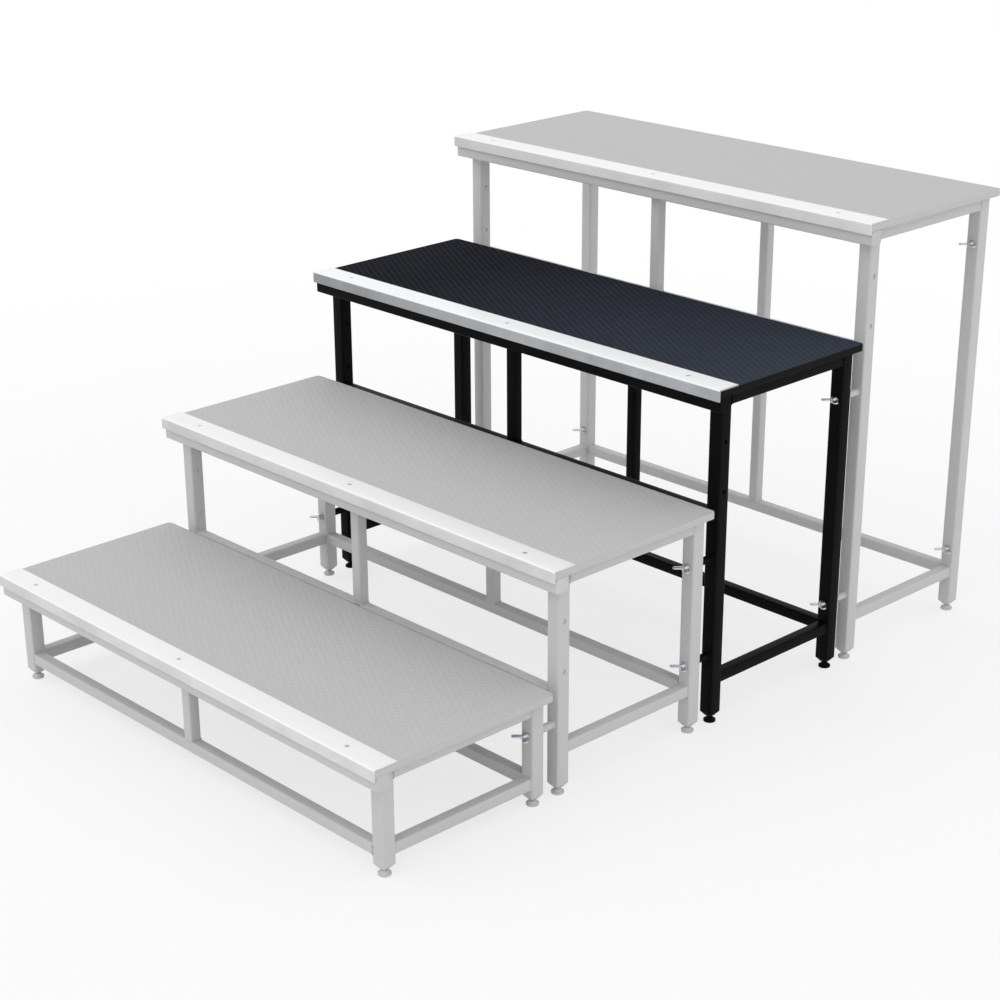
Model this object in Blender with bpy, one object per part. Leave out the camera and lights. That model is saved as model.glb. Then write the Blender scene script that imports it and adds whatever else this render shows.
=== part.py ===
"""Stage stairs: four step modules, each a welded tube frame with a deck, a nosing and screw feet.

The modules stand one behind the other and wing bolts join each one's rear legs to the front legs
of the next. Metres, +Z up, +X to the right along the steps, +Y up the stairs. The origin is on
the floor, at the middle of the space that the stairs fill.
"""
from math import cos, pi, sin

import bmesh
import bpy
from mathutils import Matrix

# The stairs as a whole
STEP_COUNT = 4
STEP_RISE = 0.200
STEP_WIDTH = 1.000
DECK_DEPTH = 0.365
NOSING_OVERLAP = 0.003      # how far a nosing reaches over the deck below it

# Square tube with 2 mm wall: the wide one for the legs and the rails under the deck, the narrow
# one for the lower rails and the middle posts
TUBE = 0.025
THIN_TUBE = 0.020
TUBE_WALL = 0.002
TUBE_RADIUS = 0.002
WELD_DEPTH = 0.004          # how far one tube's outline runs into the next, under the weld

# Where the tubes stand under the deck
LEG_SIDE_INSET = 0.0185     # deck end to the leg's outer face
LEG_FRONT_SETBACK = 0.0285  # nosing face to the leg's front face
REAR_OVERHANG = 0.005       # deck past the rear leg's rear face
NOSE_RAIL_SETBACK = 0.006
NOSE_RAIL_END_INSET = 0.003
BOTTOM_RAIL_HEIGHT = 0.080  # floor to the middle of the bottom rails
FIRST_BOTTOM_RAIL_HEIGHT = 0.042

# Deck panel and nosing
PANEL_THICK = 0.012
PANEL_CORNER = 0.008
PANEL_EDGE = 0.001
NOSING_TOP = 0.045
NOSING_FRONT = 0.020
NOSING_THICK = 0.0025
NOSING_RADIUS = 0.0035
SEAT = 0.0003               # clearance between pieces that rest on each other

# Countersunk nosing screws
SCREW_HEAD_RADIUS = 0.004
SCREW_HEAD_HEIGHT = 0.0022
SCREW_SHANK_RADIUS = 0.002
SCREW_LENGTH = 0.011
SCREW_END_INSET = 0.085     # deck end to the first screw
SCREW_SETBACK = 0.022
SCREW_BLIND = 0.0006        # drill depth past the screw's tip

# Leg ends and screw feet
LEG_END = 0.011             # floor to the end of the leg
LEG_TAPER = 0.008
LEG_TIP = 0.0125            # width of the tapered end plug at its tip
PLUG_DEPTH = 0.020
FOOT_STEM_RADIUS = 0.004
FOOT_STEM_LENGTH = 0.050    # above the leg's end
FOOT_PAD_RADIUS = 0.0105
FOOT_PAD_EDGE = 0.001
FOOT_PAD_HEIGHT = 0.004
FOOT_NECK_RADIUS = 0.0055
FOOT_NECK_HEIGHT = 0.008

# Wing bolts
BOLT_RADIUS = 0.004
BOLT_GRIP_PAST_NUT = 0.010  # thread past the next leg's front face
BOLT_END_PAST_LEG = 0.002   # thread past the leg on the last step
BOLT_POINT_RADIUS = 0.003
BOLT_POINT = 0.001          # length of the shank's eased end
UPPER_BOLT_DROP = 0.100     # deck top to the upper bolt
SIDE_HOLE_PITCH = 0.085
SIDE_HOLE_RADIUS = 0.004
HUB_RADIUS = 0.0065
HUB_TIP_RADIUS = 0.0048
HUB_END_RADIUS = 0.0034
HUB_LENGTH = 0.011
HUB_SHOULDER = 0.0099       # seat to the start of the hub's eased end
WING_SPAN = 0.034
WING_HEIGHT = 0.020
WING_THICK = 0.0026
WING_LOBE_RADIUS = 0.0048
WING_LOBE_START = 0.1       # where the round of the lobe starts and ends, in half turns
WING_LOBE_END = -0.8
WING_LOBE_STEPS = 5
WING_ROOT = 0.0024          # hub axis to the wings' roots inside the hub
WING_ROOT_NEAR = 0.0017     # seat to the near and far side of the wings at the hub
WING_FACE_NEAR = 0.0028
WING_ROOT_FAR = 0.0094
HOLE_CLEARANCE = 0.0006

ROUND_SIDES = 12
HOLE_SIDES = 10
SMALL_ROUND_SIDES = 8
CORNER_STEPS = 1
ROUND_EDGE_STEPS = 4        # faces round a deck corner or the nosing's edge
CUT_PAST = 0.001            # how far a cutter reaches past the face that it opens
SHARP_ANGLE = 0.6           # edges bent more than this stay sharp, in radians

# Places that follow from the sizes above
GOING = DECK_DEPTH - NOSING_OVERLAP
TOTAL_DEPTH = GOING * (STEP_COUNT - 1) + DECK_DEPTH
HALF_WIDTH = STEP_WIDTH / 2
LEG_X = HALF_WIDTH - LEG_SIDE_INSET - TUBE / 2
FRONT_LEG_Y = LEG_FRONT_SETBACK + TUBE / 2
FRONT_RAIL_Y = LEG_FRONT_SETBACK + THIN_TUBE / 2
REAR_LEG_Y = DECK_DEPTH - REAR_OVERHANG - TUBE / 2
LEG_PITCH = GOING + FRONT_LEG_Y - REAR_LEG_Y
TOP_BUILD = NOSING_THICK + SEAT + PANEL_THICK + SEAT
FIRST_RAIL_BOTTOM = STEP_RISE - TOP_BUILD - TUBE
LOWER_BOLT_Z = (BOTTOM_RAIL_HEIGHT + THIN_TUBE / 2 + FIRST_RAIL_BOTTOM) / 2
SCREW_PLACES = (("left", -1), ("middle", 0), ("right", 1))
SIDES = (("left", -1), ("right", 1))


def clear_scene():
    for item in list(bpy.data.objects):
        bpy.data.objects.remove(item, do_unlink=True)


def make_material(name, colour, roughness, metallic=0.0):
    material = bpy.data.materials.new(name)
    material.use_nodes = True
    shader = material.node_tree.nodes["Principled BSDF"]
    shader.inputs["Base Color"].default_value = (*colour, 1.0)
    shader.inputs["Roughness"].default_value = roughness
    shader.inputs["Metallic"].default_value = metallic
    return material


def make_object(name, mesh_source, material=None, parent=None, place=(0, 0, 0)):
    """Put a bmesh, or a mesh that is already made, into the scene as one object."""
    if isinstance(mesh_source, bmesh.types.BMesh):
        bmesh.ops.recalc_face_normals(mesh_source, faces=mesh_source.faces)
        mesh = bpy.data.meshes.new(name)
        mesh_source.to_mesh(mesh)
        mesh_source.free()
    else:
        mesh = mesh_source
    item = bpy.data.objects.new(name, mesh)
    bpy.context.scene.collection.objects.link(item)
    item.location = place
    item.parent = parent
    if material is not None and not mesh.materials:
        mesh.materials.append(material)
    return item


def arc(centre, radius, start, end, steps):
    """Points on an arc, angles in half turns, both ends included."""
    angles = [pi * (start + (end - start) * i / steps) for i in range(steps + 1)]
    return [(centre[0] + radius * cos(a), centre[1] + radius * sin(a)) for a in angles]


def rounded_square(size, radius):
    """Outline of a square tube, centred, anticlockwise."""
    flat = size / 2 - radius
    points = []
    for quarter, (sx, sy) in enumerate(((1, 1), (-1, 1), (-1, -1), (1, -1))):
        points += arc((sx * flat, sy * flat), radius, quarter / 2, quarter / 2 + 0.5, CORNER_STEPS)
    return points


def square(size):
    half = size / 2
    return [(half, half), (-half, half), (-half, -half), (half, -half)]


def loft(outlines, to_point):
    """Skin closed outlines of equal length, ring after ring, and cap both ends."""
    bm = bmesh.new()
    rings = []
    for level, outline in outlines:
        rings.append([bm.verts.new(to_point(u, v, level)) for u, v in outline])
    for lower, upper in zip(rings, rings[1:]):
        for i in range(len(lower)):
            j = (i + 1) % len(lower)
            bm.faces.new((lower[i], lower[j], upper[j], upper[i]))
    bm.faces.new(rings[0])
    bm.faces.new(rings[-1])
    return bm


def along_x(y, z):
    return lambda u, v, level: (level, y + u, z + v)


def along_y(x, z):
    return lambda u, v, level: (x + u, level, z + v)


def along_z(x, y):
    return lambda u, v, level: (x + u, y + v, level)


def circle(radius, sides):
    """Outline with a corner half a side off the axes, so that flats face the axes."""
    angles = [2 * pi * (i + 0.5) / sides for i in range(sides)]
    return [(radius * cos(a), radius * sin(a)) for a in angles]


def turned(profile, sides, axis="Z"):
    """Solid of revolution. The profile is (radius, height) and starts and ends on the axis."""
    bm = bmesh.new()
    rings = []
    for radius, height in profile:
        if radius == 0:
            rings.append([bm.verts.new((0, 0, height))])
        else:
            rings.append([bm.verts.new((x, y, height)) for x, y in circle(radius, sides)])
    for lower, upper in zip(rings, rings[1:]):
        for i in range(sides):
            j = (i + 1) % sides
            corners = [lower[i % len(lower)], lower[j % len(lower)],
                       upper[j % len(upper)], upper[i % len(upper)]]
            bm.faces.new(list(dict.fromkeys(corners)))
    if axis == "Y":
        bmesh.ops.rotate(bm, verts=bm.verts, cent=(0, 0, 0), matrix=Matrix.Rotation(-pi / 2, 3, "X"))
    return bm


def combine(target, tool, operation):
    """Boolean one object with another, keep the result and remove the tool."""
    modifier = target.modifiers.new("combine", "BOOLEAN")
    modifier.operation = operation
    modifier.solver = "EXACT"
    modifier.object = tool
    bpy.context.view_layer.update()
    graph = bpy.context.evaluated_depsgraph_get()
    result = bpy.data.meshes.new_from_object(target.evaluated_get(graph))
    target.modifiers.clear()
    old_mesh = target.data
    target.data = result
    bpy.data.meshes.remove(old_mesh)
    bpy.data.objects.remove(tool, do_unlink=True)
    return target


def union_of(name, solids):
    """Unite bmesh solids one after another into a single body."""
    whole = make_object(name, solids[0])
    for index, solid in enumerate(solids[1:]):
        combine(whole, make_object("%s_part_%d" % (name, index), solid), "UNION")
    return whole


def smooth_round_faces(item):
    item.data.shade_smooth()
    item.data.set_sharp_from_angle(angle=SHARP_ANGLE)


def frame_levels(step):
    """Heights of a module: top of the tube frame, the bottom rails, and the front lower rail."""
    tube_top = step * STEP_RISE - TOP_BUILD
    if step == 1:
        return tube_top, FIRST_BOTTOM_RAIL_HEIGHT, FIRST_BOTTOM_RAIL_HEIGHT
    return tube_top, BOTTOM_RAIL_HEIGHT, (step - 1) * STEP_RISE - TOP_BUILD - TUBE / 2


def frame_runs(step):
    """Every tube between tube faces, as (width, direction, across, from, to)."""
    tube_top, bottom_rail, front_rail = frame_levels(step)
    top_rail = tube_top - TUBE / 2
    inner_x = LEG_X - TUBE / 2
    inner_front = FRONT_LEG_Y + TUBE / 2
    inner_rear = REAR_LEG_Y - TUBE / 2
    post_foot = bottom_rail + THIN_TUBE / 2
    runs = []
    for x in (-LEG_X, LEG_X):
        runs.append((TUBE, "Y", (x, top_rail), inner_front, inner_rear))
        runs.append((THIN_TUBE, "Y", (x, bottom_rail), inner_front, inner_rear))
    runs.append((TUBE, "X", (REAR_LEG_Y, top_rail), -inner_x, inner_x))
    runs.append((THIN_TUBE, "X", (REAR_LEG_Y, bottom_rail), -inner_x, inner_x))
    runs.append((THIN_TUBE, "X", (FRONT_RAIL_Y, front_rail), -inner_x, inner_x))
    runs.append((THIN_TUBE, "Z", (0, REAR_LEG_Y), post_foot, top_rail - TUBE / 2))
    return runs


def tube_outline(width):
    return rounded_square(width, TUBE_RADIUS)


def bore_outline(width):
    return square(width - 2 * TUBE_WALL)


def run_solid(run, outline, extra):
    """A tube's outline or its bore swept along its run, longer by extra at both ends."""
    width, direction, across, start, end = run
    place = {"X": along_x, "Y": along_y, "Z": along_z}[direction](*across)
    return loft([(start - extra, outline(width)), (end + extra, outline(width))], place)


def leg_solid(x, y, tube_top):
    """A leg with the tapered plug that closes its end."""
    full = tube_outline(TUBE)
    tip = [(u * LEG_TIP / TUBE, v * LEG_TIP / TUBE) for u, v in full]
    return loft([(LEG_END, tip), (LEG_END + LEG_TAPER, full), (tube_top, full)], along_z(x, y))


def hole(radius, start, end, place):
    outline = circle(radius, HOLE_SIDES)
    return loft([(start, outline), (end, outline)], place)


def frame_holes(step):
    """Stem holes in the leg ends, bolt holes in the legs and through holes in the front legs."""
    cutters = []
    bolt_hole = BOLT_RADIUS + HOLE_CLEARANCE
    past = TUBE / 2 + CUT_PAST
    for x in (-LEG_X, LEG_X):
        for y in (FRONT_LEG_Y, REAR_LEG_Y):
            cutters.append(hole(FOOT_STEM_RADIUS + HOLE_CLEARANCE, LEG_END - CUT_PAST,
                                LEG_END + PLUG_DEPTH + CUT_PAST, along_z(x, y)))
        for z in bolt_heights(step):
            cutters.append(hole(bolt_hole, REAR_LEG_Y - past, REAR_LEG_Y + past, along_y(x, z)))
        if step > 1:
            for z in bolt_heights(step - 1):
                cutters.append(hole(bolt_hole, FRONT_LEG_Y - past, FRONT_LEG_Y, along_y(x, z)))
            for drop in (UPPER_BOLT_DROP, UPPER_BOLT_DROP + SIDE_HOLE_PITCH):
                place = along_x(FRONT_LEG_Y, step * STEP_RISE - drop)
                cutters.append(hole(SIDE_HOLE_RADIUS, x - past, x + past, place))
    return cutters


def bolt_heights(step):
    """Wing bolt heights on a module's rear legs. The first step is too low for an upper pair."""
    heights = [LOWER_BOLT_Z]
    if step > 1:
        heights.append(step * STEP_RISE - UPPER_BOLT_DROP)
    return heights


def make_frame(step, parent, material):
    """The welded frame: outer tubes united, then the bores and the holes cut out."""
    tube_top, _, front_rail = frame_levels(step)
    top_rail = tube_top - TUBE / 2
    nose_rail_y = NOSE_RAIL_SETBACK + TUBE / 2
    nose_rail_half = HALF_WIDTH - NOSE_RAIL_END_INSET
    legs = [(x, y) for x in (-LEG_X, LEG_X) for y in (FRONT_LEG_Y, REAR_LEG_Y)]
    nose_rail = (TUBE, "X", (nose_rail_y, top_rail), -nose_rail_half, nose_rail_half)
    runs = frame_runs(step)

    outer = [leg_solid(x, y, tube_top) for x, y in legs]
    outer += [run_solid(run, tube_outline, WELD_DEPTH) for run in runs]
    outer.append(run_solid(nose_rail, tube_outline, 0))
    front_post = (THIN_TUBE, "Z", (0, FRONT_RAIL_Y), front_rail, tube_top)
    outer.append(run_solid(front_post, tube_outline, 0))
    frame = union_of("step%d_frame" % step, outer)

    bore = bore_outline(TUBE)
    plug_top = LEG_END + PLUG_DEPTH
    inner = [loft([(plug_top, bore), (tube_top - TUBE_WALL, bore)], along_z(x, y)) for x, y in legs]
    inner += [run_solid(run, bore_outline, TUBE / 2) for run in runs]
    inner.append(run_solid(nose_rail, bore_outline, -TUBE_WALL))
    front_post_bore = (THIN_TUBE, "Z", (0, FRONT_RAIL_Y), front_rail, tube_top - TUBE_WALL)
    inner.append(run_solid(front_post_bore, bore_outline, 0))
    vent = circle(BOLT_RADIUS, SMALL_ROUND_SIDES)
    for x in (-LEG_X, 0, LEG_X):
        inner.append(loft([(nose_rail_y, vent), (FRONT_LEG_Y, vent)], along_y(x, top_rail)))
    combine(frame, union_of("bores", inner), "DIFFERENCE")
    combine(frame, union_of("holes", frame_holes(step)), "DIFFERENCE")

    frame.parent = parent
    frame.data.materials.clear()
    frame.data.materials.append(material)
    smooth_round_faces(frame)
    return frame


def screw_places(step):
    """The nosing screws of a module as (name, x, y)."""
    reach = HALF_WIDTH - SCREW_END_INSET
    return [(name, side * reach, SCREW_SETBACK) for name, side in SCREW_PLACES]


def make_deck(step, parent, material):
    """The panel: rounded rear corners, eased edges, blind holes for the nosing screws."""
    front = NOSING_THICK + SEAT
    top = step * STEP_RISE - NOSING_THICK - SEAT
    outline = [(-HALF_WIDTH, front), (HALF_WIDTH, front)]
    corner_y = DECK_DEPTH - PANEL_CORNER
    corner_x = HALF_WIDTH - PANEL_CORNER
    outline += arc((corner_x, corner_y), PANEL_CORNER, 0, 0.5, ROUND_EDGE_STEPS)
    outline += arc((-corner_x, corner_y), PANEL_CORNER, 0.5, 1, ROUND_EDGE_STEPS)
    bm = loft([(top - PANEL_THICK, outline), (top, outline)], along_z(0, 0))
    rims = [edge for edge in bm.edges if abs(edge.verts[0].co.z - edge.verts[1].co.z) < 1e-6]
    bmesh.ops.bevel(bm, geom=rims, offset=PANEL_EDGE, segments=1, affect="EDGES")
    deck = make_object("step%d_deck" % step, bm)
    depth = SCREW_LENGTH + SCREW_BLIND
    screw_top = step * STEP_RISE
    cutters = []
    for _, x, y in screw_places(step):
        cutters.append(hole(SCREW_SHANK_RADIUS + HOLE_CLEARANCE, screw_top - depth,
                            screw_top + depth, along_z(x, y)))
    combine(deck, union_of("pilot_holes", cutters), "DIFFERENCE")
    deck.parent = parent
    deck.data.materials.clear()
    deck.data.materials.append(material)
    smooth_round_faces(deck)
    return deck


def nosing_outline():
    """The angle's section as (y, z), with the outer edge rounded and the rear edge eased."""
    outer = arc((NOSING_RADIUS, -NOSING_RADIUS), NOSING_RADIUS, 1, 0.5, ROUND_EDGE_STEPS)
    ease = NOSING_THICK / 2
    return [(NOSING_THICK, -NOSING_FRONT), (0, -NOSING_FRONT)] + outer + [
        (NOSING_TOP - ease, 0), (NOSING_TOP, -ease), (NOSING_TOP, -NOSING_THICK),
        (NOSING_THICK, -NOSING_THICK)]


def make_nosing(step, parent, material):
    """Aluminium angle over the deck's front edge, countersunk for three screws."""
    deck_top = step * STEP_RISE
    bm = loft([(-HALF_WIDTH, nosing_outline()), (HALF_WIDTH, nosing_outline())], along_x(0, deck_top))
    nosing = make_object("step%d_nosing" % step, bm)
    cutters = []
    for _, x, y in screw_places(step):
        wide = circle(SCREW_HEAD_RADIUS + SEAT + HOLE_CLEARANCE, ROUND_SIDES)
        mouth = circle(SCREW_HEAD_RADIUS + SEAT, ROUND_SIDES)
        narrow = circle(SCREW_SHANK_RADIUS + HOLE_CLEARANCE, ROUND_SIDES)
        drop = NOSING_THICK * 2
        levels = [(deck_top - drop, narrow), (deck_top - SCREW_HEAD_HEIGHT - SEAT, narrow),
                  (deck_top, mouth), (deck_top + HOLE_CLEARANCE, wide)]
        cutters.append(loft(levels, along_z(x, y)))
    combine(nosing, union_of("countersinks", cutters), "DIFFERENCE")
    nosing.parent = parent
    nosing.data.materials.clear()
    nosing.data.materials.append(material)
    smooth_round_faces(nosing)
    return nosing


def screw_mesh():
    """Countersunk screw, head down from its own origin."""
    profile = [(0, 0), (SCREW_HEAD_RADIUS, 0), (SCREW_SHANK_RADIUS, -SCREW_HEAD_HEIGHT),
               (SCREW_SHANK_RADIUS, -SCREW_LENGTH + SCREW_SHANK_RADIUS),
               (SCREW_SHANK_RADIUS / 2, -SCREW_LENGTH), (0, -SCREW_LENGTH)]
    return turned(profile, SMALL_ROUND_SIDES)


def foot_mesh():
    """Screw foot, its origin at the leg's end: stem, neck and round pad in one piece."""
    floor = -LEG_END
    edge = FOOT_PAD_EDGE
    profile = [(0, floor), (FOOT_PAD_RADIUS - edge, floor), (FOOT_PAD_RADIUS, floor + edge),
               (FOOT_PAD_RADIUS, floor + FOOT_PAD_HEIGHT), (FOOT_NECK_RADIUS, floor + FOOT_NECK_HEIGHT),
               (FOOT_STEM_RADIUS, floor + FOOT_NECK_HEIGHT + edge),
               (FOOT_STEM_RADIUS, FOOT_STEM_LENGTH), (0, FOOT_STEM_LENGTH)]
    return turned(profile, ROUND_SIDES)


def wing_outline(side):
    """One wing as (x, y), from inside the hub out to a round lobe that leans forward."""
    tip_x = WING_SPAN / 2 - WING_LOBE_RADIUS
    tip_y = -WING_HEIGHT + WING_LOBE_RADIUS
    points = [(WING_ROOT, -WING_ROOT_NEAR), (HUB_RADIUS, -WING_FACE_NEAR)]
    points += arc((tip_x, tip_y), WING_LOBE_RADIUS, WING_LOBE_START, WING_LOBE_END, WING_LOBE_STEPS)
    points.append((WING_ROOT, -WING_ROOT_FAR))
    return [(side * x, y) for x, y in points]


def wing_bolt(name, grip):
    """Wing bolt, its axis along Y and its seat at the origin. The wings lie level."""
    profile = [(0, grip), (BOLT_POINT_RADIUS, grip), (BOLT_RADIUS, grip - BOLT_POINT),
               (BOLT_RADIUS, 0), (HUB_RADIUS, 0), (HUB_TIP_RADIUS, -HUB_SHOULDER),
               (HUB_END_RADIUS, -HUB_LENGTH), (0, -HUB_LENGTH)]
    solids = [turned(profile, ROUND_SIDES, axis="Y")]
    half = WING_THICK / 2
    for side in (-1, 1):
        outline = wing_outline(side)
        solids.append(loft([(-half, outline), (half, outline)], along_z(0, 0)))
    bolt = union_of(name, solids)
    smooth_round_faces(bolt)
    mesh = bolt.data
    bpy.data.objects.remove(bolt, do_unlink=True)
    return mesh


def turned_mesh(name, bm, material):
    """Keep a turned piece's mesh for the copies that share it."""
    item = make_object(name, bm, material)
    smooth_round_faces(item)
    mesh = item.data
    bpy.data.objects.remove(item, do_unlink=True)
    return mesh


def make_module(step, finish, shared):
    """One step module with its loose pieces, parented to an empty at its front edge."""
    module = bpy.data.objects.new("step%d" % step, None)
    bpy.context.scene.collection.objects.link(module)
    module.location = (0, (step - 1) * GOING - TOTAL_DEPTH / 2, 0)
    make_frame(step, module, finish["frame"])
    make_deck(step, module, finish["deck"])
    make_nosing(step, module, finish["nosing"])
    for name, x, y in screw_places(step):
        place = (x, y, step * STEP_RISE)
        make_object("step%d_screw_%s" % (step, name), shared["screw"], None, module, place)
    for row, y in (("front", FRONT_LEG_Y), ("rear", REAR_LEG_Y)):
        for side_name, side in SIDES:
            name = "step%d_foot_%s_%s" % (step, row, side_name)
            make_object(name, finish["foot"], None, module, (side * LEG_X, y, LEG_END))
    bolt_kind = "bolt" if step < STEP_COUNT else "short_bolt"
    seat_y = REAR_LEG_Y - TUBE / 2 - SEAT
    for level, z in zip(("lower", "upper"), bolt_heights(step)):
        for side_name, side in SIDES:
            name = "step%d_wing_bolt_%s_%s" % (step, level, side_name)
            make_object(name, shared[bolt_kind], None, module, (side * LEG_X, seat_y, z))


def main():
    clear_scene()
    black_coat = make_material("black powder coat", (0.012, 0.012, 0.012), 0.45)
    grey_coat = make_material("light grey powder coat", (0.50, 0.50, 0.50), 0.5)
    black_film = make_material("black anti-slip film", (0.018, 0.019, 0.026), 0.6)
    grey_film = make_material("light grey anti-slip film", (0.52, 0.52, 0.52), 0.65)
    bright = make_material("mill aluminium", (0.80, 0.81, 0.82), 0.35, 1.0)
    pale = make_material("pale anodised aluminium", (0.90, 0.91, 0.92), 0.45, 1.0)
    zinc = make_material("zinc plated steel", (0.62, 0.64, 0.67), 0.35, 1.0)

    black_foot = turned_mesh("black_foot", foot_mesh(), black_coat)
    grey_foot = turned_mesh("grey_foot", foot_mesh(), grey_coat)
    long_grip = SEAT + LEG_PITCH + BOLT_GRIP_PAST_NUT
    short_grip = SEAT + TUBE + BOLT_END_PAST_LEG
    shared = {
        "screw": turned_mesh("screw", screw_mesh(), zinc),
        "bolt": wing_bolt("bolt", long_grip),
        "short_bolt": wing_bolt("short_bolt", short_grip),
    }
    for kind in ("bolt", "short_bolt"):
        shared[kind].materials.clear()
        shared[kind].materials.append(zinc)
    dark = {"frame": black_coat, "deck": black_film, "nosing": bright, "foot": black_foot}
    light = {"frame": grey_coat, "deck": grey_film, "nosing": pale, "foot": grey_foot}
    dark_step = 3
    for step in range(1, STEP_COUNT + 1):
        make_module(step, dark if step == dark_step else light, shared)


main()
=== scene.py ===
"""Looks of the stage stairs: four bolted step modules, the third one black and the others pale grey.

Metres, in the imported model's own frame: +X right along the steps, +Y up the stairs, +Z up, and the
floor at zero.
"""
from math import cos, pi, radians, sin

import bmesh
import bpy
from mathutils import Matrix, Vector


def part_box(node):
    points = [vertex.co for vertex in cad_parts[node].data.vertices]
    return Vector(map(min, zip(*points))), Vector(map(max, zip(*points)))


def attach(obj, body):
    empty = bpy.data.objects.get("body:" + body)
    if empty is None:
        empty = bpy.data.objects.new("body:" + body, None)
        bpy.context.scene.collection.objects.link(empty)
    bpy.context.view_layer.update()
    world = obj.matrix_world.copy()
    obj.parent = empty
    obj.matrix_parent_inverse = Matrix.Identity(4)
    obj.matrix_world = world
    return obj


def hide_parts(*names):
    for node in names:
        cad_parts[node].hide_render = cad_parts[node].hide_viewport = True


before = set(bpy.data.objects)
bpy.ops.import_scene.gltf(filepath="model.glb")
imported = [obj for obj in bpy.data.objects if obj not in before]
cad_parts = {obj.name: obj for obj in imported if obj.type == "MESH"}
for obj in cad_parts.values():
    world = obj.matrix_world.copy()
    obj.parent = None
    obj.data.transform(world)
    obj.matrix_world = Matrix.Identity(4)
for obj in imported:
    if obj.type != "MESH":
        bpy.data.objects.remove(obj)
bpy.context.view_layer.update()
scene = bpy.context.scene
scene.view_settings.view_transform = "Standard"


# The camera
# The photo is taken from the right front with a long lens, from well above the top step. Its
# principal point lies off the picture's centre, which the lens shift repeats.
PHOTO_PIXELS = 1000
FOCAL_PIXELS = 2183.5
PRINCIPAL_X = 451.1
PRINCIPAL_Y = 583.2
CAMERA_PLACE = (2.6165, -2.4889, 1.6710)
CAMERA_AZIMUTH = radians(47.824)
CAMERA_ELEVATION = radians(23.238)
CAMERA_ROLL = radians(-0.839)

camera_data = bpy.data.cameras.new("photo_camera")
camera_data.lens = camera_data.sensor_width * FOCAL_PIXELS / PHOTO_PIXELS
camera_data.shift_x = 0.5 - PRINCIPAL_X / PHOTO_PIXELS
camera_data.shift_y = PRINCIPAL_Y / PHOTO_PIXELS - 0.5
camera = bpy.data.objects.new("photo_camera", camera_data)
scene.collection.objects.link(camera)
camera.matrix_world = (Matrix.Translation(CAMERA_PLACE)
                       @ Matrix.Rotation(CAMERA_AZIMUTH, 4, "Z")
                       @ Matrix.Rotation(pi / 2 - CAMERA_ELEVATION, 4, "X")
                       @ Matrix.Rotation(CAMERA_ROLL, 4, "Z"))
scene.camera = camera


# The studio
# A pale floor that runs out of sight, an even pale room round it, one large soft lamp in front of
# the stairs on the left and a weaker one on the right. Floor and room look white to the camera,
# and the floor's own shade fades out beyond the shadow.
FLOOR_RADIUS = 40.0
FLOOR_SIDES = 64
FLOOR_DROP = 0.0002
FLOOR_COLOUR = (0.86, 0.86, 0.865, 1)
FLOOR_ROUGHNESS = 0.9
FLOOR_WHITE_SHARE = 0.7
FLOOR_FADE_START = 1.1
FLOOR_FADE_END = 3.0
ROOM_LIGHT = 0.93
WHITE = (1, 1, 1, 1)
# name, place, spread in degrees, strength
LAMPS = (("key", (-2.6, -3.4, 4.0), 50, 0.35), ("fill", (3.6, -1.2, 2.4), 60, 0.2))


def add_node(tree, kind, sockets=None, **settings):
    """Add a shader node and fill its inputs, each with a value or with another node's output."""
    item = tree.nodes.new("ShaderNode" + kind)
    for key, value in settings.items():
        setattr(item, key, value)
    for key, value in (sockets or {}).items():
        if isinstance(value, bpy.types.NodeSocket):
            tree.links.new(value, item.inputs[key])
        else:
            item.inputs[key].default_value = value
    return item


def new_material(name, **fixed):
    """A material with one Principled shader. Fixed values go on the shader's own sockets."""
    material = bpy.data.materials.new(name)
    material.use_nodes = True
    shader = material.node_tree.nodes["Principled BSDF"]
    for key, value in fixed.items():
        shader.inputs[key.replace("_", " ")].default_value = value
    return material, material.node_tree, shader


def maths(tree, operation, *values):
    """One step of arithmetic on values or on other nodes' outputs."""
    return add_node(tree, "Math", dict(enumerate(values)), operation=operation).outputs[0]


def ramp(tree, value, start, end, low=0.0, high=1.0, curve="LINEAR"):
    """A value stretched from one range to another, and held at its ends."""
    return add_node(tree, "MapRange", {"Value": value, "From Min": start, "From Max": end, "To Min": low,
                                       "To Max": high}, interpolation_type=curve).outputs[0]


def seen_directly(tree):
    """1 for rays that show a surface: straight to the camera, mirrored, or through glass."""
    rays = add_node(tree, "LightPath").outputs
    shown = maths(tree, "MAXIMUM", rays["Is Camera Ray"], rays["Is Glossy Ray"])
    return maths(tree, "MAXIMUM", shown, rays["Is Transmission Ray"])


floor_material, floor_tree, floor_shader = new_material("studio_floor", Roughness=FLOOR_ROUGHNESS)
floor_shader.inputs["Base Color"].default_value = FLOOR_COLOUR
floor_white = add_node(floor_tree, "Emission", {"Color": WHITE, "Strength": 1.0})
floor_place = add_node(floor_tree, "TexCoord").outputs["Object"]
floor_reach = add_node(floor_tree, "VectorMath", {0: floor_place}, operation="LENGTH").outputs["Value"]
floor_fade = ramp(floor_tree, floor_reach, FLOOR_FADE_START, FLOOR_FADE_END, FLOOR_WHITE_SHARE, 1.0,
                  "SMOOTHSTEP")
floor_share = maths(floor_tree, "MULTIPLY", seen_directly(floor_tree), floor_fade)
floor_mix = add_node(floor_tree, "MixShader", {0: floor_share, 1: floor_shader.outputs[0],
                                               2: floor_white.outputs[0]})
floor_tree.links.new(floor_mix.outputs[0], floor_tree.nodes["Material Output"].inputs["Surface"])
floor_bm = bmesh.new()
bmesh.ops.create_circle(floor_bm, cap_ends=True, segments=FLOOR_SIDES, radius=FLOOR_RADIUS)
floor_mesh = bpy.data.meshes.new("studio_floor")
floor_bm.to_mesh(floor_mesh)
floor_bm.free()
floor_mesh.materials.append(floor_material)
floor = bpy.data.objects.new("studio_floor", floor_mesh)
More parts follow.
